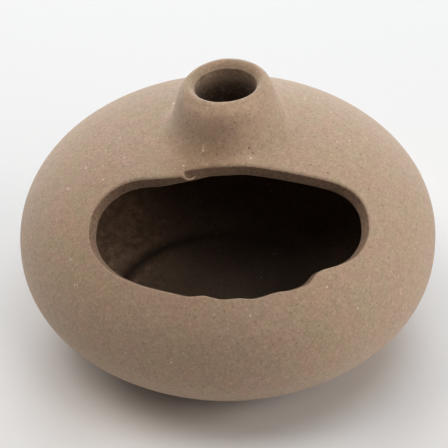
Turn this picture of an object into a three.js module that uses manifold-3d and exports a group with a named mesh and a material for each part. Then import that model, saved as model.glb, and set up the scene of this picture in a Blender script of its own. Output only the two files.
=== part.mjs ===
// Clay ocarina of the edge-blown kind: a squat hollow body with a short open neck that the player
// blows across, and a wide hand-cut window in the front shoulder that a palm shades to bend the note.
// It is hand built from formed clay pieces, luted together with slip before it is fired:
//   base_slab       round floor slab
//   lower_bowl      pressed lower half, foot to equator
//   upper_dome      pressed upper half, equator to neck seat, with the window cut through it
//   neck_collar     thrown collar that holds the bore and the rolled lip
//   neck_root_coil  coil smoothed into the corner between collar and dome
//   *_slip          the layers of slip that join them
// Millimetres, +Z up. The origin is the centre of the flat foot, and the window faces -Y.

import * as THREE from "three";
import Module from "manifold-3d";
import { mergeVertices } from "three/addons/utils/BufferGeometryUtils.js";

// Driving dimensions of the body. Both halves follow superellipses: 2 would be a plain ellipse.
const BODY_RADIUS = 65;
const EQUATOR_HEIGHT = 32.5; // from the foot up to the joint between bowl and dome
const DOME_RISE = 41; // equator to where the dome's curve would close, under the neck
const DOME_POWER = 2.11;
const BOWL_DROP = 36.9; // equator to where the bowl's curve would close, below the foot
const BOWL_POWER = 2.2;
const WALL = 4.2;
const FLOOR_THICKNESS = 4.5;
const SLIP = 0.4; // thickness of a layer of joining slip

// Foot and floor
const SLAB_FACE_RADIUS = 30;
const SLAB_MITRE = 3; // how much wider the slab is on top than underneath
const FOOT_BEVEL_HEIGHT = 0.5; // the bevel that softens the foot's edge
const FOOT_BEVEL_WIDTH = 3;

// Neck: heights are above the equator
const BORE_RADIUS = 9;
const LIP_CREST_RADIUS = 11.2;
const LIP_CREST_HEIGHT = 55.7;
const LIP_FLAT = 0.5; // half width of the level band on the lip's crest
const LIP_SHOULDER = new THREE.Vector2(14, 52.8);
const LIP_INNER_DEPTH = 2; // how far the lip slopes down to the bore's edge
const LIP_ROUND = 0.6; // how far the corners of the lip's two curves stand in from its sides
const BORE_LENGTH = 5.5; // below the crest; under this the bore flares into the chamber
const FLARE_TOP = 0.6; // how far the flare has opened a bore's length below the bore
const FLARE_FOOT = new THREE.Vector2(-3.4, 3.6); // how the flare's curve leaves the seat
const CONE_START = new THREE.Vector2(16.4, 45); // where the straight cone runs out into the root
const CONE_LEAN = THREE.MathUtils.degToRad(17);
const ROOT_RADIUS = 21.5; // where the root's curve meets the dome
const ROOT_TENSION = 3.2; // how far the root's curve holds on to the dome and to the cone
const SEAT_OUTER_RADIUS = 16.6;
const SEAT_INNER_RADIUS = 14.2;
const COIL_TOP = 0.7; // share of the root's curve that the coil covers
const COIL_EDGE_RADIUS = 18.8; // outside this the root is clay drawn up from the dome itself
const COIL_GAP = 0.3;
const NECK_LEAN = THREE.MathUtils.degToRad(3.4); // the neck leans to -X, so its lip climbs to +X
const LEAN_START = 42.5; // height at which the collar starts to lean

// Window outline in plan, seen from above: x right, y towards the back. The first point is the top
// corner of the step where the knife's cut overshot its start, and the last is the step's lower tip.
const WINDOW_PLAN = [
  [-12.8, -21.5], [-5.3, -20.6], [5.4, -20.2], [14.9, -21.2], [23.7, -21.8], [31.9, -22],
  [37.7, -23.6], [41.2, -28.6], [41.5, -32.7], [40.2, -37.7], [37.1, -42.4], [31.6, -46.6],
  [26.6, -49.3], [23.9, -51.9], [20.7, -54.1], [14.7, -56], [9.6, -57.6], [6.7, -58.2],
  [2.8, -58.2], [-2.3, -58.4], [-7.1, -57.4], [-11.7, -57.1], [-17.6, -55.3], [-25.4, -52.1],
  [-33.2, -47.1], [-38.9, -40.2], [-40.7, -34.4], [-39.7, -28.1], [-35.9, -23.7], [-30.3, -21.6],
  [-22.4, -22.3], [-17.9, -23.1], [-12.3, -24.1],
];
const CUT_OUTWARD = 30; // how far the window cutter reaches outside the wall
const CUT_INWARD = 9;

// Mesh fineness
const SEGMENTS = 60;
const SHELL_STEPS = 8;
const ROOT_STEPS = 10;
const CUT_STEPS = 80;

const CLAY = new THREE.MeshStandardMaterial({ color: 0xa8907a, roughness: 0.92, metalness: 0 });
const SLIP_CLAY = new THREE.MeshStandardMaterial({ color: 0x9c8570, roughness: 0.95, metalness: 0 });

const wasm = await Module();
wasm.setup();

// --- Curves in the (radius, height) half plane --------------------------------------------------

// Height of a superellipse above its centre at a given radius.
function shellHeight(radius, halfWidth, rise, power) {
  return rise * (1 - (radius / halfWidth) ** power) ** (1 / power);
}

// Points of a superellipse between two radii, evenly spread in its own angle.
function shellCurve(halfWidth, rise, power, fromRadius, toRadius, steps) {
  const angleAt = (radius) => Math.acos((radius / halfWidth) ** (power / 2));
  const from = angleAt(fromRadius);
  const to = angleAt(toRadius);
  return Array.from({ length: steps + 1 }, (_, i) => {
    const angle = from + ((to - from) * i) / steps;
    return new THREE.Vector2(
      halfWidth * Math.cos(angle) ** (2 / power),
      rise * Math.sin(angle) ** (2 / power),
    );
  });
}

const domeOuter = (from, to, steps) =>
  shellCurve(BODY_RADIUS, DOME_RISE, DOME_POWER, from, to, steps);
const domeHeight = (radius) => shellHeight(radius, BODY_RADIUS, DOME_RISE, DOME_POWER);
const domeInner = (from, to, steps) =>
  shellCurve(BODY_RADIUS - WALL, DOME_RISE - WALL, DOME_POWER, from, to, steps);

// Slope of the dome's outer curve, height gained per millimetre outwards.
function domeSlope(radius) {
  const h = 0.001;
  return (domeHeight(radius + h) - domeHeight(radius - h)) / (2 * h);
}

// The root's outer face: leaves the dome along its slope and runs up into the neck's cone.
function rootCurve() {
  const start = new THREE.Vector2(ROOT_RADIUS, domeHeight(ROOT_RADIUS));
  const along = new THREE.Vector2(-1, -domeSlope(ROOT_RADIUS)).setLength(ROOT_TENSION);
  const lean = new THREE.Vector2(-Math.sin(CONE_LEAN), Math.cos(CONE_LEAN)).setLength(ROOT_TENSION);
  return new THREE.CubicBezierCurve(
    start,
    start.clone().add(along),
    CONE_START.clone().sub(lean),
    CONE_START,
  );
}

const rootPoints = (steps) => rootCurve().getPoints(steps);

// Height of the root's outer face at a radius between its toe and its cone.
function rootHeight(radius) {
  const points = rootPoints(100);
  const i = points.findIndex((p) => p.x <= radius);
  const share = (points[i - 1].x - radius) / (points[i - 1].x - points[i].x);
  return THREE.MathUtils.lerp(points[i - 1].y, points[i].y, share);
}

const point = (radius, height) => new THREE.Vector2(radius, height);
const raised = (points, by) => points.map((p) => point(p.x, p.y + by));

// --- Solids -------------------------------------------------------------------------------------

// Turns a closed profile, listed anticlockwise with radius to the right and height up, about Z.
function turned(profile) {
  const geometry = new THREE.LatheGeometry([...profile, profile[0]], SEGMENTS);
  return geometry.rotateX(Math.PI / 2);
}

function toSolid(geometry) {
  const bare = new THREE.BufferGeometry();
  bare.setAttribute("position", geometry.getAttribute("position"));
  bare.setIndex(geometry.index);
  const merged = mergeVertices(bare, 1e-4);
  return new wasm.Manifold(
    new wasm.Mesh({
      numProp: 3,
      vertProperties: merged.attributes.position.array,
      triVerts: new Uint32Array(merged.index.array),
    }),
  );
}

function fromSolid(solid) {
  const mesh = solid.getMesh();
  const geometry = new THREE.BufferGeometry();
  geometry.setAttribute("position", new THREE.BufferAttribute(mesh.vertProperties, 3));
  geometry.setIndex(new THREE.BufferAttribute(mesh.triVerts, 1));
  return geometry;
}

// --- Pieces, each in its own frame with the equator or the foot at height 0 ----------------------

// Level slab with a mitred edge that widens upwards.
function baseSlab() {
  return turned([
    point(0, 0),
    point(SLAB_FACE_RADIUS, 0),
    point(SLAB_FACE_RADIUS + SLAB_MITRE, FLOOR_THICKNESS),
    point(0, FLOOR_THICKNESS),
  ]);
}

function baseSlip() {
  return turned([
    point(SLAB_FACE_RADIUS, 0),
    point(SLAB_FACE_RADIUS + SLIP, 0),
    point(SLAB_FACE_RADIUS + SLAB_MITRE + SLIP, FLOOR_THICKNESS),
    point(SLAB_FACE_RADIUS + SLAB_MITRE, FLOOR_THICKNESS),
  ]);
}

// Lower half with its rim at height 0, standing on a narrow ring around the slab.
function lowerBowl() {
  const depth = EQUATOR_HEIGHT - SLIP / 2;
  const radiusAt = (drop, halfWidth, fullDrop) =>
    halfWidth * (1 - (drop / fullDrop) ** BOWL_POWER) ** (1 / BOWL_POWER);
  const footRadius = radiusAt(depth - FOOT_BEVEL_HEIGHT, BODY_RADIUS, BOWL_DROP);
  const innerHalf = BODY_RADIUS - WALL;
  const innerDrop = BOWL_DROP - WALL;
  const floorRadius = radiusAt(depth - FLOOR_THICKNESS, innerHalf, innerDrop);
  const flip = (points) => points.map((p) => point(p.x, -p.y));
  const outside = flip(
    shellCurve(BODY_RADIUS, BOWL_DROP, BOWL_POWER, footRadius, BODY_RADIUS, SHELL_STEPS),
  );
  const inside = flip(
    shellCurve(innerHalf, innerDrop, BOWL_POWER, innerHalf, floorRadius, SHELL_STEPS),
  );
  return turned([
    point(SLAB_FACE_RADIUS + SLIP, -depth),
    point(footRadius - FOOT_BEVEL_WIDTH, -depth),
    ...outside,
    ...inside,
    point(SLAB_FACE_RADIUS + SLAB_MITRE + SLIP, -depth + FLOOR_THICKNESS),
  ]);
}

function equatorSlip() {
  return turned([
    point(BODY_RADIUS - WALL, -SLIP / 2),
    point(BODY_RADIUS, -SLIP / 2),
    point(BODY_RADIUS, SLIP / 2),
    point(BODY_RADIUS - WALL, SLIP / 2),
  ]);
}

// The tool that cuts the window: the plan outline set on the outer surface, drawn out along the
// wall's own normals so that the cut face stands square to the wall.
function windowCutter() {
  const corner = WINDOW_PLAN.map(([x, y]) => point(x, y));
  const outline = new THREE.SplineCurve(corner).getSpacedPoints(CUT_STEPS);
  const positions = [];
  const ring = (reach) =>
    outline.forEach((p) => {
      const radius = p.length();
      const height = radius < ROOT_RADIUS ? rootHeight(radius) : domeHeight(radius);
      const normal = new THREE.Vector2(-domeSlope(radius), 1).normalize();
      const away = radius + reach * normal.x;
      positions.push((p.x / radius) * away, (p.y / radius) * away, height + reach * normal.y);
    });
  ring(CUT_OUTWARD);
  ring(-CUT_INWARD);

  const count = outline.length;
  const cap = THREE.ShapeUtils.triangulateShape(outline, []);
  const anticlockwise = !THREE.ShapeUtils.isClockWise(outline);
  const index = [];
  const face = (a, b, c) => index.push(...(anticlockwise ? [a, b, c] : [a, c, b]));
  // The caps follow the triangles' own winding; the wall joins the two rings.
  cap.forEach(([a, b, c]) => {
    index.push(a, b, c);
    index.push(count + a, count + c, count + b);
  });
  for (let i = 0; i < count; i++) {
    const next = (i + 1) % count;
    face(i, count + i, next);
    face(next, count + i, count + next);
  }
  const geometry = new THREE.BufferGeometry();
  geometry.setAttribute("position", new THREE.Float32BufferAttribute(positions, 3));
  geometry.setIndex(index);
  return geometry;
}

// Upper half with its lower edge at height 0, pierced by the window and the neck seat. Its clay
// is drawn up into the toe of the neck's root, and steps down to the bed that the coil lies in.
function upperDome() {
  const toe = rootPoints(ROOT_STEPS).filter((p) => p.x > COIL_EDGE_RADIUS);
  const shell = turned([
    ...domeOuter(BODY_RADIUS, ROOT_RADIUS, SHELL_STEPS),
    ...toe.slice(1),
    point(COIL_EDGE_RADIUS, rootHeight(COIL_EDGE_RADIUS)),
    ...domeOuter(COIL_EDGE_RADIUS, SEAT_OUTER_RADIUS, 1),
    ...domeInner(SEAT_INNER_RADIUS, BODY_RADIUS - WALL, SHELL_STEPS),
  ]);
  return fromSolid(toSolid(shell).subtract(toSolid(windowCutter())));
}

// Bevelled seat that the collar stands on: outer and inner edge.
function neckSeat() {
  return [
    point(SEAT_OUTER_RADIUS, domeHeight(SEAT_OUTER_RADIUS)),
    domeInner(SEAT_INNER_RADIUS, SEAT_INNER_RADIUS, 1)[0],
  ];
}

function neckSlip() {
  const [outer, inner] = neckSeat();
  return turned([inner, outer, point(outer.x, outer.y + SLIP), point(inner.x, inner.y + SLIP)]);
}

// Leans the neck: above its root it moves towards -X, and its level sections turn square to that,
// fully so at the crest.
function leaned(geometry) {
  const position = geometry.getAttribute("position");
  const slope = Math.tan(NECK_LEAN);
  for (let i = 0; i < position.count; i++) {
    const above = Math.max(position.getZ(i) - LEAN_START, 0);
    const share = Math.min(above / (LIP_CREST_HEIGHT - LEAN_START), 1);
    position.setZ(i, position.getZ(i) + position.getX(i) * slope * share);
    position.setX(i, position.getX(i) - above * slope);
  }
  return geometry;
}

function neckCollar() {
  const [outer, inner] = raised(neckSeat(), SLIP);
  const crest = point(LIP_CREST_RADIUS, LIP_CREST_HEIGHT);
  const lipOutside = new THREE.QuadraticBezierCurve(
    LIP_SHOULDER,
    point(LIP_SHOULDER.x - LIP_ROUND, crest.y),
    point(crest.x + LIP_FLAT, crest.y),
  ).getPoints(6);
  const lipInside = new THREE.QuadraticBezierCurve(
    point(crest.x - LIP_FLAT, crest.y),
    point(BORE_RADIUS + LIP_ROUND, crest.y),
    point(BORE_RADIUS, crest.y - LIP_INNER_DEPTH),
  ).getPoints(4);
  const flare = new THREE.CubicBezierCurve(
    point(BORE_RADIUS, crest.y - BORE_LENGTH),
    point(BORE_RADIUS + FLARE_TOP, crest.y - 2 * BORE_LENGTH),
    inner.clone().add(FLARE_FOOT),
    inner,
  ).getPoints(6);
  const flank = rootPoints(ROOT_STEPS).slice(ROOT_STEPS * COIL_TOP);
  const profile = [inner, outer, ...flank, ...lipOutside, ...lipInside, ...flare.slice(0, -1)];
  return leaned(turned(profile));
}

// Coil of soft clay worked into the corner between dome and collar, hollow on its outside. Its
// upper end stops a step short of the collar's face, so that it keeps its gap there too.
function neckRootCoil() {
  const edge = COIL_EDGE_RADIUS - COIL_GAP;
  const face = rootPoints(ROOT_STEPS).filter((p, i) => p.x < edge && i < ROOT_STEPS * COIL_TOP);
  const top = face[face.length - 1];
  const bed = raised(domeOuter(SEAT_OUTER_RADIUS + COIL_GAP, edge, 1), COIL_GAP);
  return turned([
    ...bed,
    point(edge, rootHeight(edge)),
    ...face,
    point(top.x - COIL_GAP, top.y),
  ]);
}

// --- Assembly -----------------------------------------------------------------------------------

function piece(name, geometry, material = CLAY) {
  geometry.computeVertexNormals();
  const mesh = new THREE.Mesh(geometry, material);
  mesh.name = name;
  return mesh;
}

function at(height, ...children) {
  const group = new THREE.Group();
  group.position.z = height;
  return group.add(...children);
}

const ocarina = new THREE.Group();
ocarina.add(
  piece("base_slab", baseSlab()),
  piece("base_joint_slip", baseSlip(), SLIP_CLAY),
  at(EQUATOR_HEIGHT - SLIP / 2, piece("lower_bowl", lowerBowl())),
  at(
    EQUATOR_HEIGHT,
    piece("equator_joint_slip", equatorSlip(), SLIP_CLAY),
    at(
      SLIP / 2,
      piece("upper_dome", upperDome()),
      piece("neck_joint_slip", neckSlip(), SLIP_CLAY),
      piece("neck_collar", neckCollar()),
      piece("neck_root_coil", neckRootCoil()),
    ),
  ),
);

export default ocarina;
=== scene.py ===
"""Looks of the clay ocarina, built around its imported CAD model.

Each formed clay piece gets a fine closed mesh of its own. The outer faces of neighbours are flush
and share one handmade waviness and one clay material, so the luted joints are smeared away as they
are on the real pot. Lengths in this script are millimetres in the CAD frame, and the factor M turns
them into metres where Blender gets them.
"""

import math

import bmesh
import bpy
import numpy as np
from mathutils import Matrix, Vector, noise
from mathutils.geometry import delaunay_2d_cdt


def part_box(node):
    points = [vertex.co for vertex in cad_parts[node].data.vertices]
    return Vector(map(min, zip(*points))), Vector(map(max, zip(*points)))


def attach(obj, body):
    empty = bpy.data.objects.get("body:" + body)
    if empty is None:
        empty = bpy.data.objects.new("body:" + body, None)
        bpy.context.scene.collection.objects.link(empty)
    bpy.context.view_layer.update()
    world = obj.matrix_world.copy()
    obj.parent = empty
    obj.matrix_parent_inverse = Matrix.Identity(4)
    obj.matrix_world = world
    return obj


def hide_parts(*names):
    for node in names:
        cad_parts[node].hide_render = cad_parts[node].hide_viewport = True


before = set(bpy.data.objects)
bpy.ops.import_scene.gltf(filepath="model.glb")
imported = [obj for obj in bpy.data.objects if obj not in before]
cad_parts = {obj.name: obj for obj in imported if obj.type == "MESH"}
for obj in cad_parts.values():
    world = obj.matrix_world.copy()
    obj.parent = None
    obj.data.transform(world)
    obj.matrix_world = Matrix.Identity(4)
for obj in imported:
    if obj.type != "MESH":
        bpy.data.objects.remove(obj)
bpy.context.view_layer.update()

M = 0.001  # metres in a millimetre
TAU = 2 * math.pi


def cad_box(node):
    low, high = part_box(node)
    return np.array(low) / M, np.array(high) / M


# --- Sizes taken from the frame -----------------------------------------------------------------

slip_low, slip_high = cad_box("equator_joint_slip")
slab_low, slab_high = cad_box("base_slab")
neck_slip_low, neck_slip_high = cad_box("neck_joint_slip")
collar_low, collar_high = cad_box("neck_collar")

BODY_RADIUS = slip_high[0]
SLIP = slip_high[2] - slip_low[2]
EQUATOR = (slip_high[2] + slip_low[2]) / 2
DOME_BASE = slip_high[2]
BOWL_RIM = slip_low[2]
FLOOR = slab_high[2]
SLAB_TOP_RADIUS = slab_high[0]
SEAT_RADIUS = neck_slip_high[0]
SEAT_HEIGHT = neck_slip_low[2]

# --- Sizes the frame's boxes don't tell, as in the CAD source ------------------------------------

WALL = 4.2
DOME_RISE, DOME_POWER = 41, 2.11
BOWL_DROP, BOWL_POWER = 36.9, 2.2
SLAB_FACE_RADIUS = 30
SEAT_INNER_RADIUS = 14.2
ROOT_RADIUS = 21.5
ROOT_TENSION = 3.2
CONE_START = np.array((16.4, 45))
CONE_LEAN = math.radians(17)
COIL_TOP = 0.7
COIL_EDGE_RADIUS = 18.8
BORE_RADIUS = 9.0
LIP_CREST_RADIUS = 11.2
LIP_FLAT = 0.5
LIP_SHOULDER = np.array((14, 52.8))
LIP_INNER_DEPTH = 2
BORE_LENGTH = 5.5
FLARE_TOP = 0.6
FLARE_FOOT = np.array((-3.4, 3.6))
NECK_LEAN = math.radians(3.4)
LEAN_START = 42.5
CREST = collar_high[2] - DOME_BASE - (LIP_CREST_RADIUS + LIP_FLAT) * math.tan(NECK_LEAN)

# Window outline in plan: x right, y towards the back. It starts at the upper corner of the step
# that the knife left, goes clockwise seen from above, and ends at the step's lower tip. It has more
# points than the CAD's list of the same outline. Most of them weren't chosen by hand: scratch
# programs traced the opening in the photo and mapped it onto the dome.
WINDOW_PLAN = [
    (-12.8, -21.5), (-8.3, -20.8), (-5.3, -20.6), (0.2, -20.5), (5.4, -20.2), (9.9, -20.6),
    (14.9, -21.2), (19.3, -21.6), (23.7, -21.8), (28.1, -21.9), (31.9, -22), (35, -22.5),
    (37.7, -23.6), (39.9, -25.6), (41.2, -28.6), (41.5, -32.7), (41.1, -35.4), (40.2, -37.7),
    (38.9, -40), (37.1, -42.4), (34.3, -44.8), (31.6, -46.6), (29.2, -47.9), (26.6, -49.3),
    (25, -50.6), (23.9, -51.9), (22.8, -53), (20.7, -54.1), (17.4, -55.4), (14.7, -56),
    (13, -56.5), (9.6, -57.6), (6.7, -58.2), (4.5, -58.2), (2.8, -58.2), (-0.1, -58.4),
    (-2.3, -58.4), (-4.6, -58), (-7.1, -57.4), (-9.1, -57.3), (-11.7, -57.1), (-13.6, -56.6),
    (-17.6, -55.3), (-21.6, -53.8), (-25.4, -52.1), (-28.9, -50.1), (-33.2, -47.1),
    (-36.5, -43.7), (-38.9, -40.2), (-40.1, -37.3), (-40.7, -34.4), (-40.5, -31.2),
    (-39.7, -28.1), (-38.1, -25.7), (-35.9, -23.7), (-33.3, -22.4), (-30.3, -21.6),
    (-26.4, -21.6), (-22.3, -22.3), (-18, -23), (-15.2, -23.3), (-13.1, -23.5), (-12.3, -24.1),
]

# --- Handwork, which only the looks have ----------------------------------------------------------

WAVINESS = 0.45  # how deep the waves of the pressed walls are
LIP_WEAR = 0.4  # how much lower than a true ring the lip is in front and on the left
SHOULDER_WEAR = 0.9  # how much further the lip's outer shoulder is worn down on the left
EDGE_WEAR = 0.3  # how much wider the bore is at its edge, and how much shallower the lip's slope
NICKS = 0.9  # depth of the nicks in the bore's front edge
FULL_FRONT = 0.9  # how much fuller the neck is under the front of the lip
FULL_ROOT = 0.6  # how much fuller its root is on the right
ROOT_SHIFT, LIP_SHIFT = 0.55, 0.1  # how far the collar and its lip are off the middle, to +X
THUMBED_EDGE, LOW_EDGE = 0.85, 0.35  # rounding of the window's outer edge: top, bottom
INNER_EDGE = 0.35  # rounding of the window's inner edge

# The step that the knife left in the window's edge, on the flat map of the dome
KNIFE_STEP = (-12.3, -23)
# The curl of clay that the knife pushed out of the step: points along its middle, in the frame's x
# and y, with heights above the dome's base. Its section is an ellipse with these half widths.
BURR_LINE = [
    (-13.4, -22.8, 37.5), (-12.6, -23.5, 37.3), (-11.7, -23.8, 36.9), (-10.7, -23.5, 36.65),
    (-9.9, -23, 36.7), (-9.2, -22.3, 36.95),
]
BURR_SECTION = (0.6, 0.75)

# --- Clay colours, painted light and shade, and the places of the clay's marks --------------------

CLAY_COLOUR = (0.436, 0.308, 0.21)
# The cut's and the inside's colours are darker copies of the clay colour: painted shade.
CUT_SHADED_COLOUR = (0.25, 0.157, 0.1)
INSIDE_SHADED_COLOUR = (0.235, 0.168, 0.12)
PALE_GRAIN = (0.82, 0.7, 0.56)

# Painted patches of light and shade: a tint, its place, and the distances from it at which it
# starts and ends fading. The front of the neck is painted paler, as painted light, and its root is
# painted dark brown, as the neck's painted shadow.
NECK_PAINTED_LIGHT_AND_SHADOW = [
    ((0.62, 0.42, 0.275), (0, -16, DOME_BASE + 50), 5, 16),
    ((0.26, 0.152, 0.077), (-7, -22, DOME_BASE + 39.5), 4, 14),
]
# The cut is painted paler at the right end of the window: painted light on the cut face.
CUT_PAINTED_LIGHT = [((0.45, 0.3, 0.2), (42, -34, DOME_BASE + 24), 6, 22)]
# Inside, the clay is painted paler round the bore's edge and on the left wall, as painted light,
# and painted dark below the bore, as painted shade.
INSIDE_PAINTED_LIGHT_AND_SHADE = [
    ((0.74, 0.53, 0.38), (-1.5, 0, DOME_BASE + 60), 11.5, 17),
    ((0.9, 0.65, 0.48), (-48, 22, DOME_BASE - 14), 18, 40),
    ((0.012, 0.009, 0.006), (0, 1, DOME_BASE + 42), 9.5, 13.5),
    ((0.008, 0.006, 0.004), (4, 3, DOME_BASE + 43), 8.5, 12),
]
# The narrow dark line where the wall meets the floor, painted shade in that crease: its radius,
# height, and the distances at which its side fades; then the place from which it fades along its
# length, with the distances.
FLOOR_CREASE_SHADE = ((36.3, FLOOR, 0, 3.6), ((-36, 10, FLOOR), 22, 62))
# Single pale grains and small holes on the neck's front and the shoulders, with heights above the
# dome's base
GROG = [
    (-7, -16.2, 41.7), (-6.9, -15.9, 42.4), (-6.9, -15.6, 43.2), (7.8, -12.1, 51.2), (7.1, -17.9, 40),
    (-18.2, 5.2, 40.2), (-16, 14.3, 39.1), (37.3, -0.8, 34.4), (-42.3, -9.3, 31.6),
    (-47.6, -14.4, 27.5),
]
PITS = [
    (41.9, -20.1, 29.7), (40.2, -12.6, 32.2), (29.7, -19.3, 35.1), (24.7, -17.5, 36.9),
    (26.6, -3.6, 37.9), (6.5, -16.1, 42.3), (-35.6, -5.9, 34.9),
]

# --- Camera and lights ----------------------------------------------------------------------------

CAMERA_ELEVATION, CAMERA_ROLL = math.radians(36.37), math.radians(0.96)
CAMERA_DISTANCE = 585
CAMERA_AIM = (-1.129, 2.667)  # how far right of the body's middle, and above it, the camera looks
LENS, SENSOR = 149.85, 36
STUDIO_FLOOR_HALF = 3000
STUDIO_FLOOR_ALBEDO = 0.8

# Softboxes: name, azimuth and elevation in degrees, power in watts, and tone, cool below 0 and warm
# above. Azimuth 0 is on the camera's side, and 90 is on +X.
SOFTBOXES = [
    ("back", 180, 22, 7.4, -1.2), ("back_low", 180, 8, 4.5, -1), ("back_left", 225, 8, 6.2, 0),
    ("left_low", 270, 8, 0.5, 0.5), ("left_high", 270, 58, 3.6, 1.8), ("above_left", 270, 75, 3.0, 0),
    ("above_front", 0, 75, 1.0, -1), ("above_right", 90, 75, 4.6, -0.5), ("right_low", 90, 8, 10.6, 0),
    ("front_right", 45, 40, 2.5, 2.2),
]
SOFTBOX_SIZE, SOFTBOX_DISTANCE = 800, 1300

# --- Mesh fineness --------------------------------------------------------------------------------

AROUND = 240  # points round the body
AROUND_NECK = 160
AROUND_BURR = 12
SHEET_STEP = 1.5  # triangle size on the dome's outer face
INSIDE_STEP = 2.4  # and on its inner face
RIM_STEP = 0.5  # spacing of points along the window's edge

# --- Curves in the (radius, height) half plane, heights above the shell's own rim ----------------


def shell_height(radius, half, rise, power):
    return rise * np.clip(1 - (np.asarray(radius, float) / half) ** power, 0, 1) ** (1 / power)


def shell_curve(half, rise, power, from_radius, to_radius, steps):
    """Points of a superellipse between two radii, evenly spread in its own angle."""
    angles = [math.acos((r / half) ** (power / 2)) for r in (from_radius, to_radius)]
    angle = np.linspace(angles[0], angles[1], steps + 1)
    return np.c_[half * np.cos(angle) ** (2 / power), rise * np.sin(angle) ** (2 / power)]


def dome_height(radius):
    return shell_height(radius, BODY_RADIUS, DOME_RISE, DOME_POWER)


def on_dome(radius, lift=0):
    """A profile point on the dome's outer face, or a little above it, measured from the foot."""
    return radius, float(dome_height(radius)) + DOME_BASE + lift


def dome_normal(radius):
    """Outward normal of the dome's superellipse, as (radial, up)."""
    radius = np.asarray(radius, float)
    out = radius ** (DOME_POWER - 1) / BODY_RADIUS**DOME_POWER
    up = dome_height(radius) ** (DOME_POWER - 1) / DOME_RISE**DOME_POWER
    length = np.hypot(out, up)
    return out / length, up / length


def bezier(points, t):
    """Points of a curve with three or four control points."""
    t = np.asarray(t, float)[:, None]
    if len(points) == 3:
        a, b, c = (np.asarray(p, float) for p in points)
        return a * (1 - t) ** 2 + 2 * b * t * (1 - t) + c * t**2
    a, b, c, d = (np.asarray(p, float) for p in points)
    return a * (1 - t) ** 3 + 3 * b * t * (1 - t) ** 2 + 3 * c * t**2 * (1 - t) + d * t**3


def root_curve(t):
    """The neck root's hollow outer face, from the dome (t = 0) to the neck's cone (t = 1)."""
    start = np.array((ROOT_RADIUS, float(dome_height(ROOT_RADIUS))))
    out, up = dome_normal(ROOT_RADIUS)
    along = ROOT_TENSION * np.array((-float(up), float(out)))
    lean = ROOT_TENSION * np.array((-math.sin(CONE_LEAN), math.cos(CONE_LEAN)))
    return bezier((start, start + along, CONE_START - lean, CONE_START), t)


def raised(line):
    """A profile with heights above the dome's base, given from the foot."""
    return [(r, z + DOME_BASE) for r, z in line]


def hung(line):
    """A bowl's profile with depths below its rim, given from the foot."""
    return [(r, BOWL_RIM - z) for r, z in line]


# --- The handmade surface -------------------------------------------------------------------------


def smooth_step(value, low, high):
    """0 up to the low value and 1 from the high one on, with an eased way between them."""
    share = np.clip((value - low) / (high - low), 0, 1)
    return share * share * (3 - 2 * share)


def waved(points):
    """Presses points inwards by a soft waviness, the same for every piece.

    It leaves the foot and the lip's crest where they are.
    """
    points = np.asarray(points, float)
    away = points - (0, 0, EQUATOR)
    length = np.linalg.norm(away, axis=1, keepdims=True)
    broad, small, aside = 34, 13, Vector((7, 3, 1))
    depth = np.array([
        noise.noise(Vector(p) / broad) * 0.6 + noise.noise(Vector(p) / small + aside) * 0.25
        for p in points
    ])
    ease = np.clip(points[:, 2] / 12, 0, 1) ** 2
    ease *= 1 - smooth_step(points[:, 2] - DOME_BASE, 46, 54)
    return points - away / length * (WAVINESS * (0.5 + 0.5 * depth) * ease)[:, None]


# Finishes of a patch, and places in a piece's list of materials
OUTSIDE, CUT, INSIDE = 0, 1, 2


class Piece:
    """A mesh gathered from patches of points and faces, welded where their points meet."""

    def __init__(self, name):
        self.name = name
        self.points = []
        self.faces = []
        self.finishes = []
        self.count = 0

    def add(self, points, faces, finish=OUTSIDE):
        self.points.append(np.asarray(points, float))
        self.faces += [tuple(i + self.count for i in face) for face in faces]
        self.finishes += [finish] * len(faces)
        self.count += len(points)

    def strip(self, rings, finish=OUTSIDE):
        """Joins closed rings of equally many points by quads; the outside is on the left hand."""
        size = len(rings[0])
        faces = []
        for k in range(len(rings) - 1):
            for i in range(size):
                j = (i + 1) % size
                faces.append((k * size + i, k * size + j, (k + 1) * size + j, (k + 1) * size + i))
        self.add(np.concatenate(rings), faces, finish)

    def build(self, slot, *nodes, seams=(), shape=waved):
        points = shape(np.concatenate(self.points)) * M
        mesh = bpy.data.meshes.new(self.name)
        mesh.from_pydata([tuple(p) for p in points], [], self.faces)
        for material in FINISHES[slot]:
            mesh.materials.append(material)
        mesh.polygons.foreach_set("material_index", self.finishes)
        obj = bpy.data.objects.new(self.name, mesh)
        bpy.context.scene.collection.objects.link(obj)
        weld(mesh)
        mesh.shade_smooth()
        mesh.set_sharp_from_angle(angle=math.radians(40))
        match_seams(mesh, seams)
        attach(obj, "root")
        if nodes:
            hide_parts(*nodes)
        return obj


def weld(mesh):
    bm = bmesh.new()
    bm.from_mesh(mesh)
    bmesh.ops.remove_doubles(bm, verts=bm.verts, dist=0.002 * M)
    bmesh.ops.recalc_face_normals(bm, faces=bm.faces)
    bm.to_mesh(mesh)
    bm.free()


def match_seams(mesh, seams):
    """Gives the corners on each seam ring the shell's own normal, so that neighbours shade as one.

    A seam is (radius, height above the foot, radial normal, upward normal). Its reach allows for
    the waviness, and a face that stands at an angle to it is left alone.
    """
    if not seams:
        return
    reach_out, reach_up, least_cosine = 0.7, 0.16, 0.8
    count = len(mesh.vertices)
    co = np.empty(count * 3, np.float32)
    mesh.vertices.foreach_get("co", co)
    co = co.reshape(-1, 3) / M
    radius = np.hypot(co[:, 0], co[:, 1])
    wanted = np.zeros((count, 3))
    for seam_radius, height, out, up in seams:
        near = (abs(radius - seam_radius) < reach_out) & (abs(co[:, 2] - height) < reach_up)
        wanted[near] = np.c_[co[near, :2] / radius[near, None] * out, np.full(near.sum(), up)]
    loops = [(0.0, 0.0, 0.0)] * len(mesh.loops)
    for face in mesh.polygons:
        for loop, vertex in zip(face.loop_indices, face.vertices):
            normal = wanted[vertex]
            if normal.any() and np.dot(normal, face.normal) > least_cosine:
                loops[loop] = tuple(normal)
    mesh.normals_split_custom_set(loops)


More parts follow.
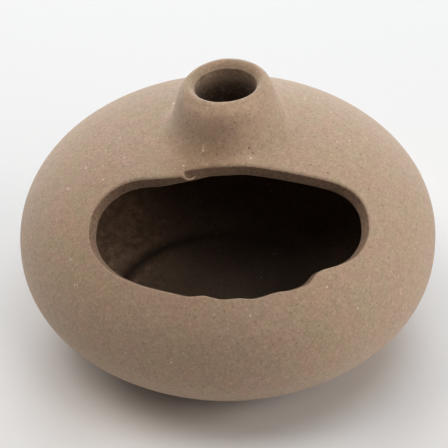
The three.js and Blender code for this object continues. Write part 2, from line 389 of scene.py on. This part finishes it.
def turned(name, profile, around=AROUND, hidden=()):
    """Turns a closed profile, listed anticlockwise as (radius, height above the foot), about Z.

    The spans of the profile numbered in hidden are on the inside of the pot.
    """
    piece = Piece(name)
    angle = np.arange(around) * TAU / around
    circle = np.c_[np.cos(angle), np.sin(angle)]
    closed = [*profile, profile[0]]
    on_axis = [r == 0 for r, _ in closed]
    rings = [np.c_[circle * r, np.full(around, z)] for r, z in closed]
    for k in range(len(profile)):
        finish = INSIDE if k in hidden else OUTSIDE
        if on_axis[k] and on_axis[k + 1]:
            continue
        if on_axis[k] or on_axis[k + 1]:
            centre, ring, turn = (k, k + 1, 1) if on_axis[k] else (k + 1, k, -1)
            middle = rings[centre][:1]
            piece.add(
                np.concatenate((rings[ring], middle)),
                [(i, (i + 1) % around, around)[::turn] for i in range(around)],
                finish,
            )
        else:
            piece.strip([rings[k], rings[k + 1]], finish)
    return piece


# --- The dome, with its window --------------------------------------------------------------------


def dome_table():
    """Arc length, radius and height of the dome's outer face, from the coil's seam to the equator."""
    t = np.linspace(0, 1, 400)
    root = root_curve(t)
    root = root[root[:, 0] >= COIL_EDGE_RADIUS][::-1]
    shell = shell_curve(BODY_RADIUS, DOME_RISE, DOME_POWER, ROOT_RADIUS, BODY_RADIUS, 900)[1:]
    shell[-1, 1] = 0
    line = np.concatenate((root, shell))
    line[0, 0] = COIL_EDGE_RADIUS
    length = np.r_[0, np.cumsum(np.hypot(*np.diff(line, axis=0).T))] + COIL_EDGE_RADIUS
    return length, line[:, 0], line[:, 1]


ARC, ARC_RADIUS, ARC_HEIGHT = dome_table()


def wall_depth():
    """How thick the wall is at each row of the arc table, measured square to the shell.

    Each depth is found by halving the range that holds it.
    """
    out, up = dome_normal(ARC_RADIUS)
    near, far = np.zeros_like(ARC), np.full_like(ARC, 9.0)
    for _ in range(40):
        middle = (near + far) / 2
        r = np.maximum(ARC_RADIUS - middle * out, 0)
        z = np.maximum(ARC_HEIGHT - middle * up, 0)
        inner = (r / (BODY_RADIUS - WALL)) ** DOME_POWER + (z / (DOME_RISE - WALL)) ** DOME_POWER
        outside = inner > 1
        near, far = np.where(outside, middle, near), np.where(outside, far, middle)
    return near


ARC_DEPTH = wall_depth()


def to_plane(plan):
    """Plan coordinates on the dome's outer face, to the flat map whose radius is arc length."""
    radius = np.hypot(plan[:, 0], plan[:, 1])
    return plan * (np.interp(radius, ARC_RADIUS, ARC) / radius)[:, None]


def on_shell(plane, depth=0.0, inner=False):
    """Points a depth below the dome's outer face, or on its inner face, from the flat map."""
    arc = np.hypot(plane[:, 0], plane[:, 1])
    way = plane / arc[:, None]
    radius, height = np.interp(arc, ARC, ARC_RADIUS), np.interp(arc, ARC, ARC_HEIGHT)
    out, up = dome_normal(radius)
    if inner:
        depth = np.interp(arc, ARC, ARC_DEPTH)
    radius, height = radius - depth * out, np.maximum(height - depth * up, 0)
    return np.c_[way * radius[:, None], height + DOME_BASE]


def smooth_closed(points, times):
    for _ in range(times):
        points = (np.roll(points, 1, 0) + 2 * points + np.roll(points, -1, 0)) / 4
    return points


def resampled(points, step):
    """A closed polyline's points, evenly spaced."""
    closed = np.concatenate((points, points[:1]))
    length = np.r_[0, np.cumsum(np.linalg.norm(np.diff(closed, axis=0), axis=1))]
    at = np.linspace(0, length[-1], int(length[-1] / step) + 1)[:-1]
    return np.c_[np.interp(at, length, closed[:, 0]), np.interp(at, length, closed[:, 1])]


def spline(points, per_span):
    """Uniform Catmull-Rom curve through an open list of points."""
    p = np.concatenate(([2 * points[0] - points[1]], points, [2 * points[-1] - points[-2]]))
    t = (np.arange(per_span) / per_span)[:, None]
    spans = [
        0.5 * (
            2 * p[i] + (p[i + 1] - p[i - 1]) * t
            + (2 * p[i - 1] - 5 * p[i] + 4 * p[i + 1] - p[i + 2]) * t**2
            + (3 * p[i] - p[i - 1] - 3 * p[i + 1] + p[i + 2]) * t**3
        )
        for i in range(1, len(points))
    ]
    return np.concatenate([*spans, points[-1:]])


def window_outline():
    """The window's edge on the outer face in the flat map, evenly spaced, corners eased."""
    plane = to_plane(spline(np.array(WINDOW_PLAN, float), 12))
    return smooth_closed(resampled(smooth_closed(resampled(plane, 0.15), 8), RIM_STEP), 1)


def outward(ring):
    """Unit vectors square to a closed ring in the plane, pointing away from the window."""
    along = np.roll(ring, -1, 0) - np.roll(ring, 1, 0)
    along /= np.linalg.norm(along, axis=1, keepdims=True)
    side = np.c_[along[:, 1], -along[:, 0]]
    area = np.sum(ring[:, 0] * np.roll(ring[:, 1], -1) - np.roll(ring[:, 0], -1) * ring[:, 1])
    return side if area > 0 else -side


def without_step(ring):
    """The window's edge on the inner face: as outside, but smooth past the knife's step."""
    tip = np.linalg.norm(ring - to_plane(np.array([WINDOW_PLAN[0]])), axis=1)
    eased = smooth_closed(ring, 400)
    share = smooth_step(-tip, -9, -3)
    return smooth_closed(ring + (eased - ring) * share[:, None], 6)


def edge_softness(ring):
    """Radius of the rounded outer edge: soft along the top, crisper at the bottom and the step."""
    arc = np.hypot(ring[:, 0], ring[:, 1])
    low = np.clip((arc - 40) / 18, 0, 1)
    soft = THUMBED_EDGE + (LOW_EDGE - THUMBED_EDGE) * low
    away = np.hypot(ring[:, 0] - KNIFE_STEP[0], ring[:, 1] - KNIFE_STEP[1])
    return np.where(away < 4, np.clip(0.25 + 0.15 * away, 0, soft), soft)


def inside(points, ring):
    """Which points lie inside a closed ring, by counting crossings."""
    x, y = points[:, :1], points[:, 1:]
    x0, y0 = ring[:, 0], ring[:, 1]
    x1, y1 = np.roll(x0, -1), np.roll(y0, -1)
    crosses = (y0 > y) != (y1 > y)
    with np.errstate(divide="ignore", invalid="ignore"):
        at = x0 + (y - y0) * (x1 - x0) / (y1 - y0)
    return (crosses & (x < at)).sum(1) % 2 == 1


def nearest(points, ring):
    """Each point's distance to the nearest point of a ring."""
    return np.sqrt(((points[:, None, :] - ring[None, :, :]) ** 2).sum(2).min(1))


def circle_plane(radius, count):
    angle = np.arange(count) * TAU / count
    return radius * np.c_[np.cos(angle), np.sin(angle)]


def pierced_sheet(hole, step):
    """Triangles of the flat map between the coil's seam and the equator, around a hole.

    Two bands of points follow the hole, so that the triangles grow gradually away from it.
    """
    edge = [circle_plane(ARC[0], AROUND_NECK), circle_plane(ARC[-1], AROUND), hole]
    away = outward(hole)
    bands = []
    for gap, least, every in ((0.55, 0.45, 1), (1.25, 1.1, 2)):
        band = hole + away * gap
        bands.append(band[nearest(band, hole) > least][::every])
    rows = max(2, round((ARC[-1] - ARC[0]) / step))
    field = []
    for k in range(1, rows):
        radius = ARC[0] + (ARC[-1] - ARC[0]) * k / rows
        count = round(TAU * np.interp(radius, ARC, ARC_RADIUS) / step)
        field.append(circle_plane(radius, count))
    field = np.concatenate(field)
    field = field[~inside(field, hole)]
    field = field[nearest(field, hole) > 1.25 + 0.6 * step]
    points = np.concatenate([*edge, *bands, field])
    lines, start = [], 0
    for ring in edge:
        size = len(ring)
        lines += [(start + i, start + (i + 1) % size) for i in range(size)]
        start += size
    made = delaunay_2d_cdt([Vector(p) for p in points], lines, [], 0, 1e-7)
    flat = np.array([tuple(v) for v in made[0]])
    faces = np.array([f for f in made[2] if len(f) == 3])
    centre = flat[faces].mean(1)
    seam_reach = ARC[0] * math.cos(math.pi / AROUND_NECK) - 1e-4
    keep = (np.hypot(centre[:, 0], centre[:, 1]) > seam_reach) & ~inside(centre, hole)
    return flat, faces[keep]


def window_wall(piece, rim, under, soft):
    """Adds the cut face of the window: its rounded outer edge, the cut, and its inner edge."""
    away, away_under = outward(rim), outward(under)
    depth = np.interp(np.hypot(under[:, 0], under[:, 1]), ARC, ARC_DEPTH)
    rounding = []
    for turn in np.linspace(0, math.pi / 2, 6):
        ring = rim + away * (soft * (1 - math.sin(turn)))[:, None]
        rounding.append(on_shell(ring, soft * (1 - math.cos(turn))))
    cut = rounding[-2:]
    for share in np.linspace(0, 1, 8)[1:-1]:
        ring = rim + (under - rim) * share
        cut.append(on_shell(ring, soft + (depth - INNER_EDGE - soft) * share))
    turns = np.linspace(0, math.pi / 2, 4)
    for turn in turns:
        ring = under + away_under * INNER_EDGE * (1 - math.cos(turn))
        below = depth - INNER_EDGE * (1 - math.sin(turn))
        cut.append(on_shell(ring, below, inner=turn == turns[-1]))
    piece.strip(rounding[:-1])
    piece.strip(cut[:-3], CUT)
    piece.strip(cut[-4:])


def upper_dome():
    piece = Piece("upper_dome_shell")
    rim = window_outline()
    under = without_step(rim)
    soft = edge_softness(rim)
    flat, faces = pierced_sheet(rim + outward(rim) * soft[:, None], SHEET_STEP)
    piece.add(on_shell(flat), faces)
    flat, faces = pierced_sheet(under + outward(under) * INNER_EDGE, INSIDE_STEP)
    piece.add(on_shell(flat, inner=True), [f[::-1] for f in faces], INSIDE)
    window_wall(piece, rim, under, soft)

    # Lower joint face, and the seat and bed under the collar and the coil
    circle, neck_circle = circle_plane(ARC[-1], AROUND), circle_plane(ARC[0], AROUND_NECK)
    piece.strip([on_shell(circle), on_shell(circle, inner=True)])
    unit = neck_circle / ARC[0]
    seat_inner, seat_outer = seat_points(0)
    bed = [
        np.c_[unit * r, np.full(AROUND_NECK, z)]
        for r, z in (on_dome(COIL_EDGE_RADIUS), seat_outer, seat_inner)
    ]
    piece.strip([on_shell(neck_circle), *bed, on_shell(neck_circle, inner=True)], INSIDE)
    return piece.build("clay", "upper_dome", seams=(*EQUATOR_SEAMS, *ROOT_SEAMS))


def cut_burr():
    """A ragged ribbon of clay, thickest where it hangs from the step's corner."""
    piece = Piece("cut_burr")
    middle = spline(np.array(BURR_LINE, float), 5)
    along = np.gradient(middle, axis=0)
    along /= np.linalg.norm(along, axis=1, keepdims=True)
    wide = np.cross(along, (0, -0.6, 0.8))
    wide /= np.linalg.norm(wide, axis=1, keepdims=True)
    thin = np.cross(wide, along)
    turn = np.arange(AROUND_BURR) * TAU / AROUND_BURR
    half_wide, half_thin = BURR_SECTION
    rings = []
    for k, centre in enumerate(middle):
        left = 1 - k / (len(middle) - 1)
        ragged = 0.85 + 0.3 * noise.noise(Vector((k * 0.9, 2, 5)))
        section = np.outer(np.cos(turn), wide[k]) * half_wide
        section += np.outer(np.sin(turn), thin[k]) * half_thin
        rings.append(centre + (0, 0, DOME_BASE) + section * (math.sqrt(max(left, 0.02)) * ragged))
    fan = [(i, (i + 1) % AROUND_BURR, AROUND_BURR) for i in range(AROUND_BURR)]
    for ring, order in ((rings[0], 1), (rings[-1], -1)):
        piece.add(np.concatenate((ring, ring.mean(0)[None])), [face[::order] for face in fan])
    piece.strip(rings[::-1])
    return piece.build("clay")


# --- Turned pieces --------------------------------------------------------------------------------

ROOT_T = np.linspace(0, 1, 2001)
ROOT_LINE = root_curve(ROOT_T)
COIL_EDGE_T = float(np.interp(-COIL_EDGE_RADIUS, -ROOT_LINE[:, 0], ROOT_T))


def root_seam(t):
    """The seam ring at a share of the neck's root curve."""
    a, b = root_curve([t - 0.002, t + 0.002])
    along = (b - a) / np.linalg.norm(b - a)
    r, z = root_curve([t])[0]
    return r, z + DOME_BASE, along[1], -along[0]


EQUATOR_SEAMS = (
    (BODY_RADIUS, BOWL_RIM, 1, 0), (BODY_RADIUS, DOME_BASE, 1, 0),
    (BODY_RADIUS - WALL, BOWL_RIM, -1, 0), (BODY_RADIUS - WALL, DOME_BASE, -1, 0),
)
ROOT_SEAMS = (root_seam(COIL_EDGE_T), root_seam(COIL_TOP))


def bowl_radius(drop, half, full):
    """Radius of a bowl's superellipse at a depth below its rim."""
    return half * (1 - (drop / full) ** BOWL_POWER) ** (1 / BOWL_POWER)


def lower_bowl():
    inner, inner_drop = BODY_RADIUS - WALL, BOWL_DROP - WALL
    edge_height = 0.5
    foot = bowl_radius(BOWL_RIM - edge_height, BODY_RADIUS, BOWL_DROP)
    floor_edge = bowl_radius(BOWL_RIM - FLOOR, inner, inner_drop)
    outside = hung(shell_curve(BODY_RADIUS, BOWL_DROP, BOWL_POWER, foot, BODY_RADIUS, 44))
    within = hung(shell_curve(inner, inner_drop, BOWL_POWER, inner, floor_edge, 34))
    eased = bezier(((foot - 3, 0), (foot - 1.4, 0), outside[0]), np.linspace(0, 1, 5)[:-1])
    profile = [(SLAB_FACE_RADIUS + SLIP, 0), *map(tuple, eased), *outside, *within]
    profile += [(SLAB_TOP_RADIUS + SLIP, FLOOR)]
    hidden = range(len(eased) + len(outside) + 1, len(profile))
    piece = turned("lower_bowl_shell", profile, hidden=hidden)
    return piece.build("clay", "lower_bowl", seams=EQUATOR_SEAMS)


def equator_slip():
    low, high, inner = BOWL_RIM, DOME_BASE, BODY_RADIUS - WALL
    profile = [(inner, low), (BODY_RADIUS, low), (BODY_RADIUS, high), (inner, high)]
    piece = turned("equator_slip_ring", profile, hidden=[3])
    return piece.build("slip", "equator_joint_slip", seams=EQUATOR_SEAMS)


def floor_slab():
    profile = [(0, 0), (SLAB_FACE_RADIUS, 0), (SLAB_TOP_RADIUS, FLOOR)]
    profile += [(SLAB_TOP_RADIUS * share, FLOOR) for share in (0.75, 0.5, 0.25, 0)]
    return turned("floor_slab", profile, hidden=range(1, 6)).build("clay", "base_slab")


def floor_slip():
    profile = [
        (SLAB_FACE_RADIUS, 0), (SLAB_FACE_RADIUS + SLIP, 0),
        (SLAB_TOP_RADIUS + SLIP, FLOOR), (SLAB_TOP_RADIUS, FLOOR),
    ]
    return turned("floor_slip_ring", profile, hidden=[2]).build("slip", "base_joint_slip")


def neck_shape(points):
    """Gives the neck its handwork and wear, leans it to -X as in the CAD, and adds the waviness.

    The collar was set a little off the middle, and it is fuller under the front of the lip and at
    its root on the right. The lip is worn lower in front and on the left, most of all at its outer
    shoulder, and the bore's edge is worn wider, with nicks in front.
    """
    points = np.array(points, float)
    slope = math.tan(NECK_LEAN)
    radius = np.hypot(points[:, 0], points[:, 1])
    height = points[:, 2] - DOME_BASE
    skin = smooth_step(radius, 12, 13.5)
    front = np.clip(-points[:, 1] / radius, 0, 1) ** 1.5
    right = np.clip(points[:, 0] / radius, 0, 1) ** 2
    under_lip = smooth_step(height, 45, 51.5) * (1 - smooth_step(height, 53, 56))
    root = smooth_step(height, 40.6, 44) * (1 - smooth_step(height, 45, 50))
    full = 1 + skin * (FULL_FRONT * front * under_lip + FULL_ROOT * right * root) / radius
    points[:, :2] *= full[:, None]
    points[:, 0] += ROOT_SHIFT * smooth_step(height, 40.6, 43.5)
    points[:, 0] += LIP_SHIFT * smooth_step(height, 48, 54)
    on_lip = smooth_step(height, 50, 55.5)
    aside = points[:, 0] / radius
    left = np.clip(-aside, 0, 1)
    shoulder = smooth_step(radius, LIP_CREST_RADIUS, 13.5)
    points[:, 2] += on_lip * LIP_WEAR * (points[:, 1] / radius - left - 0.4)
    points[:, 2] -= on_lip * shoulder * SHOULDER_WEAR * np.maximum(left, 0.3 * aside)
    edge = smooth_step(height, 47, 53) * smooth_step(-radius, -LIP_CREST_RADIUS, -BORE_RADIUS)
    points[:, :2] *= (1 + edge * EDGE_WEAR / radius)[:, None]
    rough = np.array([noise.noise(Vector(p) / 0.8) for p in points])
    front_edge = edge * smooth_step(height, 52.5, 53.5) * np.clip(-points[:, 1] / radius, 0, 1)
    points[:, 2] += edge * EDGE_WEAR - front_edge * NICKS * np.clip(rough, 0, 1)
    above = np.maximum(height - LEAN_START, 0)
    points[:, 2] += points[:, 0] * slope * np.minimum(above / (CREST - LEAN_START), 1)
    points[:, 0] -= above * slope
    return waved(points)


def seat_points(lift):
    """The inner and outer edge of the neck's seat on the dome, or of a layer above it."""
    return (SEAT_INNER_RADIUS, SEAT_HEIGHT + lift), on_dome(SEAT_RADIUS, lift)


def neck_slip():
    inner, outer = seat_points(0)
    profile = [inner, outer, (outer[0], outer[1] + SLIP), (inner[0], inner[1] + SLIP)]
    piece = turned("neck_slip_ring", profile, AROUND_NECK, hidden=range(4))
    return piece.build("slip", "neck_joint_slip")


def root_coil():
    bed = np.linspace(SEAT_RADIUS, COIL_EDGE_RADIUS, 3)
    face = root_curve(np.linspace(COIL_EDGE_T, COIL_TOP, 12)) + (0, DOME_BASE)
    profile = [*map(on_dome, bed), *map(tuple, face), seat_points(SLIP)[1]]
    piece = turned("neck_root_coil_fill", profile, AROUND_NECK)
    return piece.build("clay", "neck_root_coil", seams=ROOT_SEAMS, shape=neck_shape)


def neck_collar():
    inner, outer = seat_points(SLIP)
    flank = root_curve(np.linspace(COIL_TOP, 1, 6))
    crest_out, crest_in = (LIP_CREST_RADIUS + 0.3, CREST), (LIP_CREST_RADIUS - 0.1, CREST)
    cone = np.linspace(CONE_START, LIP_SHOULDER, 5)[1:-1]
    lip_out = bezier(
        (LIP_SHOULDER, LIP_SHOULDER + (-0.5, 1.9), (LIP_SHOULDER[0] - 1.2, CREST), crest_out),
        np.linspace(0, 1, 11),
    )
    edge = np.array((BORE_RADIUS, CREST - LIP_INNER_DEPTH))
    slope = bezier((crest_in, edge + (0.9, 1.45), edge + (0.22, 0.16)), np.linspace(0, 1, 9))
    rounding = bezier((slope[-1], edge, edge - (0, 0.3)), np.linspace(0, 1, 4))[1:]
    bore = [(BORE_RADIUS, z) for z in np.linspace(edge[1] - 0.9, CREST - BORE_LENGTH, 4)]
    foot = np.array((inner[0], inner[1] - DOME_BASE))
    flare = bezier(
        (bore[-1], (BORE_RADIUS + FLARE_TOP, CREST - 2 * BORE_LENGTH), foot + FLARE_FOOT, foot),
        np.linspace(0, 1, 14),
    )[1:-1]
    skin = [inner, outer, *raised([*flank, *cone, *lip_out, *slope])]
    profile = [*skin, *raised([*rounding, *bore, *flare])]
    hidden = range(len(skin), len(profile))
    piece = turned("neck_collar_fine", profile, AROUND_NECK, hidden)
    return piece.build("clay", "neck_collar", seams=ROOT_SEAMS[1:], shape=neck_shape)


# --- Clay -----------------------------------------------------------------------------------------


def add_node(tree, kind, inputs, **settings):
    """A shader node whose inputs are values or other nodes' outputs."""
    node = tree.nodes.new(kind)
    for name, value in settings.items():
        setattr(node, name, value)
    for name, value in inputs.items():
        if isinstance(value, bpy.types.NodeSocket):
            tree.links.new(value, node.inputs[name])
        else:
            node.inputs[name].default_value = value
    return node


class ClayShader:
    """The node tree of one clay finish. Its pattern is fixed to the pot."""

    def __init__(self, name):
        self.material = bpy.data.materials.new(name)
        self.material.use_nodes = True
        self.tree = self.material.node_tree
        self.shader = self.tree.nodes["Principled BSDF"]
        self.place = add_node(self.tree, "ShaderNodeTexCoord", {}).outputs["Object"]

    def clouds(self, size, detail=2.0, low=0.0, high=1.0, distortion=0.0):
        """Soft noise with patches about a given size across, spread over low to high."""
        noise_node = add_node(self.tree, "ShaderNodeTexNoise", {
            "Vector": self.place, "Scale": 1 / (size * M),
            "Detail": detail, "Distortion": distortion,
        })
        return self.spread(noise_node.outputs["Fac"], 0.28, 0.72, low, high)

    def spread(self, value, from_low, from_high, low, high):
        """A value's range stretched over another one, and held there."""
        return add_node(self.tree, "ShaderNodeMapRange", {
            "Value": value, "From Min": from_low, "From Max": from_high,
            "To Min": low, "To Max": high,
        }).outputs["Result"]

    def specks(self, spacing, radius, share):
        """1 in the middle of scattered round specks, fading to 0 at their radius.

        A share of the places that the spacing gives have a speck.
        """
        cells = add_node(self.tree, "ShaderNodeTexVoronoi", {
            "Vector": self.place, "Scale": 1 / (spacing * M),
        })
        reach = radius / spacing
        spot = self.spread(cells.outputs["Distance"], 0.35 * reach, reach, 1, 0)
        chosen = add_node(self.tree, "ShaderNodeSeparateColor", {"Color": cells.outputs["Color"]})
        some = self.maths("LESS_THAN", chosen.outputs["Red"], share)
        return self.maths("MULTIPLY", spot, some)

    def near(self, place, inner, outer):
        """1 within one distance of a place in the pot, falling to 0 at another."""
        away = add_node(self.tree, "ShaderNodeVectorMath", {
            0: self.place, 1: Vector(place) * M,
        }, operation="DISTANCE")
        return self.spread(away.outputs["Value"], inner * M, outer * M, 1, 0)

    def near_ring(self, radius, height, inner, outer):
        """1 within one distance of a level ring round the pot's axis, falling to 0 at another."""
        axes = add_node(self.tree, "ShaderNodeSeparateXYZ", {"Vector": self.place}).outputs
        aside = self.maths("SUBTRACT", self.length(axes["X"], axes["Y"]), radius * M)
        above = self.maths("SUBTRACT", axes["Z"], height * M)
        return self.spread(self.length(aside, above), inner * M, outer * M, 1, 0)

    def length(self, across, along):
        """Length of the long side of a right triangle."""
        sides = add_node(self.tree, "ShaderNodeCombineXYZ", {"X": across, "Y": along})
        return add_node(
            self.tree, "ShaderNodeVectorMath", {0: sides.outputs[0]}, operation="LENGTH"
        ).outputs["Value"]

    def marks(self, places, radius):
        """1 in the middle of round marks, fading to 0 at their radius.

        The places have heights above the dome's base.
        """
        spots = [self.near((x, y, z + DOME_BASE), 0.3 * radius, radius) for x, y, z in places]
        mark = spots[0]
        for spot in spots[1:]:
            mark = self.maths("MAXIMUM", mark, spot)
        return mark

    def maths(self, operation, a, b):
        """A sum, product or other result of two numbers."""
        return add_node(self.tree, "ShaderNodeMath", {0: a, 1: b}, operation=operation).outputs[0]

    def tinted(self, colour, tint, share):
        """The colour, turned towards a tint by a share from 0 to 1."""
        node = add_node(self.tree, "ShaderNodeMix", {0: share}, data_type="RGBA", clamp_factor=True)
        for socket, value in ((node.inputs[6], colour), (node.inputs[7], tint)):
            if isinstance(value, bpy.types.NodeSocket):
                self.tree.links.new(value, socket)
            else:
                socket.default_value = (*value, 1)
        return node.outputs[2]

    def finish(self, colour, height, roughness, sheen):
        """Joins the colour, the height in millimetres and the roughness to the shader."""
        bump = add_node(self.tree, "ShaderNodeBump", {"Height": height, "Distance": M, "Strength": 1.0})
        inputs = self.shader.inputs
        self.tree.links.new(bump.outputs["Normal"], inputs["Normal"])
        self.tree.links.new(colour, inputs["Base Color"])
        self.tree.links.new(roughness, inputs["Roughness"])
        inputs["Sheen Weight"].default_value = sheen
        inputs["Sheen Roughness"].default_value = 0.6
        inputs["Specular IOR Level"].default_value = 0.35
        return self.material


def shade(colour, gain):
    return tuple(channel * gain for channel in colour)


def clay_material(name, base, coarse=1.0, sheen=0.15, painted_patches=(), grog=(), pits=(), line=None):
    """Fired clay: faint rosy and olive clouds, fine sandy grain, dark and pale grog, small pits.

    Grog and pits are the places of single pale grains and dark holes, besides the scattered ones.
    They, the painted patches of light and shade and the dark level line of painted shade are given
    as in the lists above.
    """
    clay = ClayShader(name)
    r, g, b = base
    rosy = (r * 1.09, g * 0.93, b * 0.98)
    olive = (r * 0.92, g * 1.05, b * 0.91)
    ashen = (r, g * 1.04, b * 1.16)
    colour = clay.tinted(rosy, olive, clay.clouds(6, 5, distortion=0.6))
    colour = clay.tinted(colour, ashen, clay.clouds(19, 3, -0.1, 0.6))
    # Painted patches of light and shade, broken up by clouds.
    for tint, place, inner, outer in painted_patches:
        painted_patch = clay.maths("MULTIPLY", clay.near(place, inner, outer), clay.clouds(5, 3, 0.45, 1))
        colour = clay.tinted(colour, tint, painted_patch)
    colour = clay.tinted(colour, shade(base, 0.82), clay.clouds(2.6, 4, 0, 0.6 * coarse))
    colour = clay.tinted(colour, shade(base, 0.55), clay.clouds(0.9, 2, -0.3, 0.4 * coarse))
    colour = clay.tinted(colour, shade(base, 1.45), clay.clouds(0.75, 2, -0.5, 0.45 * coarse))
    fine_dark = clay.specks(spacing=1.7, radius=0.36, share=0.55)
    large_dark = clay.specks(spacing=6.5, radius=0.45, share=0.55)
    pale = clay.specks(spacing=4.6, radius=0.38, share=0.5)
    if grog:
        pale = clay.maths("MAXIMUM", pale, clay.marks(grog, 0.55))
    if pits:
        large_dark = clay.maths("MAXIMUM", large_dark, clay.marks(pits, 0.5))
    colour = clay.tinted(colour, shade(base, 0.5), clay.maths("MULTIPLY", fine_dark, 0.8 * coarse))
    colour = clay.tinted(colour, shade(base, 0.35), clay.maths("MULTIPLY", large_dark, 0.8))
    colour = clay.tinted(colour, PALE_GRAIN, clay.maths("MULTIPLY", pale, 0.85))
    # A dark level line painted into the colour: painted shade along the floor's crease.
    if line:
        ring, stretch = line
        dark = clay.maths("MULTIPLY", clay.near_ring(*ring), clay.near(*stretch))
        colour = clay.tinted(colour, shade(base, 0.2), dark)

    height = clay.clouds(0.7, 3, 0, 0.035 * coarse)
    height = clay.maths("ADD", height, clay.clouds(3.4, 3, 0, 0.07 * coarse))
    height = clay.maths("SUBTRACT", height, clay.maths("MULTIPLY", large_dark, 0.12))
    height = clay.maths("SUBTRACT", height, clay.maths("MULTIPLY", fine_dark, 0.03))
    height = clay.maths("ADD", height, clay.maths("MULTIPLY", pale, 0.05))
    return clay.finish(colour, height, clay.clouds(1.8, 3, 0.82, 0.98), sheen)


fired_clay = clay_material(
    "fired_clay", CLAY_COLOUR, painted_patches=NECK_PAINTED_LIGHT_AND_SHADOW, grog=GROG, pits=PITS
)
# The cut and the inside get darker copies of the clay as painted shade, with their painted light and
# shade.
fired_cut = clay_material("fired_clay_cut", CUT_SHADED_COLOUR, 1.5, 0.05, CUT_PAINTED_LIGHT)
fired_inside = clay_material(
    "fired_clay_inside", INSIDE_SHADED_COLOUR, 1.2, 0.05, INSIDE_PAINTED_LIGHT_AND_SHADE, line=FLOOR_CREASE_SHADE
)
slip_clay = clay_material("slip_clay", CLAY_COLOUR, 0.9)
FINISHES = {
    "clay": (fired_clay, fired_cut, fired_inside),
    "slip": (slip_clay, fired_cut, fired_inside),
}


# --- Stage ----------------------------------------------------------------------------------------


def camera():
    """Looks down at the window from the front; it aims a little off the body's middle."""
    rise, run = math.sin(CAMERA_ELEVATION), math.cos(CAMERA_ELEVATION)
    up, back = Vector((0, rise, run)), Vector((0, -run, rise))
    centre = Vector((0, 0, EQUATOR))
    place = centre + back * CAMERA_DISTANCE
    target = centre + Vector((CAMERA_AIM[0], 0, 0)) + up * CAMERA_AIM[1]
    data = bpy.data.cameras.new("camera")
    data.sensor_width = SENSOR
    data.lens = LENS
    data.clip_start, data.clip_end = 10 * M, 20000 * M
    obj = bpy.data.objects.new("camera", data)
    bpy.context.scene.collection.objects.link(obj)
    look = (target - place).to_track_quat("-Z", "Y").to_matrix()
    look = look @ Matrix.Rotation(-CAMERA_ROLL, 3, "Z")
    obj.matrix_world = Matrix.Translation(place * M) @ look.to_4x4()
    bpy.context.scene.camera = obj


def floor():
    mesh = bpy.data.meshes.new("studio_floor")
    half = STUDIO_FLOOR_HALF * M
    corners = [(-half, -half, 0), (half, -half, 0), (half, half, 0), (-half, half, 0)]
    mesh.from_pydata(corners, [], [(0, 1, 2, 3)])
    obj = bpy.data.objects.new("studio_floor", mesh)
    bpy.context.scene.collection.objects.link(obj)
    material = bpy.data.materials.new("pale_floor")
    material.use_nodes = True
    shader = material.node_tree.nodes["Principled BSDF"]
    shader.inputs["Base Color"].default_value = (*[STUDIO_FLOOR_ALBEDO] * 3, 1)
    shader.inputs["Roughness"].default_value = 0.9
    mesh.materials.append(material)


def light_colour(tone):
    """White, cooled towards the sky's tone or warmed towards a lamp's."""
    return (1 + 0.07 * tone, 1 - 0.01 * tone, 1 - 0.07 * tone)


def softbox(name, azimuth, elevation, power, tone):
    """A round area light aimed at the body."""
    around, above = math.radians(azimuth), math.radians(elevation)
    way = Vector((
        math.sin(around) * math.cos(above), -math.cos(around) * math.cos(above), math.sin(above)
    ))
    data = bpy.data.lights.new(name, "AREA")
    data.shape = "DISK"
    data.size = SOFTBOX_SIZE * M
    data.energy = power
    data.color = light_colour(tone)
    obj = bpy.data.objects.new(name, data)
    bpy.context.scene.collection.objects.link(obj)
    place = (Vector((0, 0, EQUATOR)) + way * SOFTBOX_DISTANCE) * M
    look = (-way).to_track_quat("-Z", "Y").to_matrix()
    obj.matrix_world = Matrix.Translation(place) @ look.to_4x4()


def lights():
    for row in SOFTBOXES:
        softbox(*row)
    world = bpy.data.worlds.new("studio")
    world.use_nodes = True
    background = world.node_tree.nodes["Background"]
    background.inputs["Color"].default_value = (1, 0.96, 0.92, 1)
    background.inputs["Strength"].default_value = 0.01
    bpy.context.scene.world = world


# --- Assembly -------------------------------------------------------------------------------------

for make in (
    upper_dome, cut_burr, lower_bowl, equator_slip, floor_slab, floor_slip,
    neck_slip, root_coil, neck_collar,
):
    make()

camera()
floor()
lights()
bpy.context.scene.view_settings.view_transform = "Standard"
